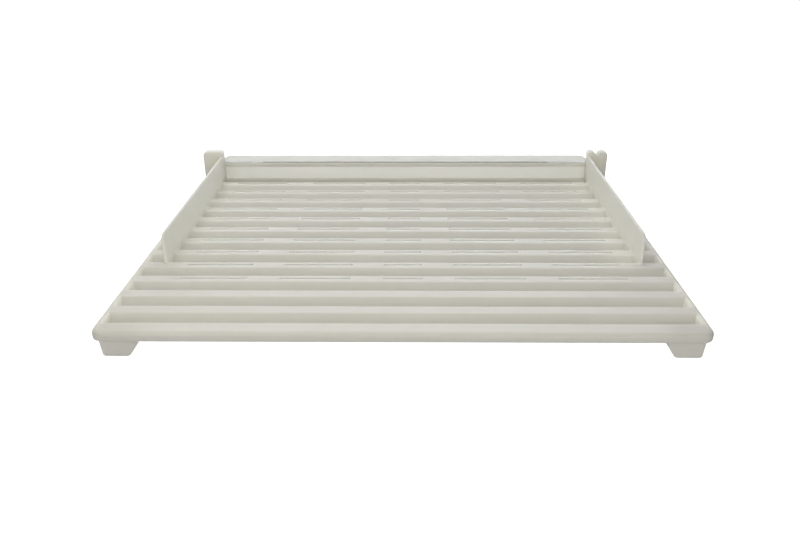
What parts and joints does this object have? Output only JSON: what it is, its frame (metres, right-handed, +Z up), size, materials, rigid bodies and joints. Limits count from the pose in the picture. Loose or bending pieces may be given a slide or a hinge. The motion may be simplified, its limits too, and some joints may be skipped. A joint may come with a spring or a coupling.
{
  "type": "refrigerator crisper drawer cover",
  "caption": "Fluted moulded plastic crisper drawer cover with vent slots, low side and back walls, rear ears, support lugs underneath and a clear strip along the back wall",
  "frame": {"origin": "centre of the footprint, on the plane that the four lugs stand on", "axes": "+X across the cover to the right seen from the front, +Y towards the rear wall, +Z up"},
  "size_m": [0.48, 0.3684, 0.0557],
  "materials": {
    "cream_plastic": "fine satin moulding texture, slightly translucent warm white",
    "clear_plastic": "clear, smooth, polished"
  },
  "bodies": {
    "root": {"cover": "cream_plastic", "rear_strip": "clear_plastic"}
  },
  "joints": []
}
